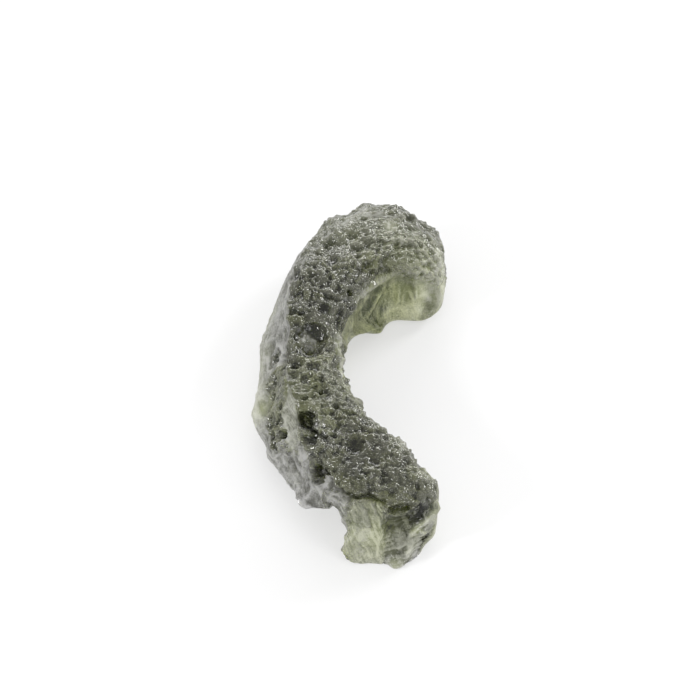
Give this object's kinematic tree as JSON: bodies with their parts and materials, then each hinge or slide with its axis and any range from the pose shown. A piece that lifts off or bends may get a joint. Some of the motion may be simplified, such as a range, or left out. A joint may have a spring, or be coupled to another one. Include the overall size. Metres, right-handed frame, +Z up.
{
  "type": "moldavite",
  "caption": "Crescent of natural green glass with a pitted, etched skin, scalloped flake scars and a broken, hollowed end, lying on small flat spots.",
  "frame": {"origin": "on the surface it lies on, under the middle of the stone's box", "axes": "+Z up, +Y along the stone from the broken end to the rounded upper arm, +X towards the open side of the crescent"},
  "size_m": [0.019, 0.0412, 0.0081],
  "materials": {
    "green_glass": "natural etched glass, glossy in the pits and frosted on the worn facets"
  },
  "bodies": {
    "root": {"moldavite": "green_glass"}
  },
  "joints": []
}
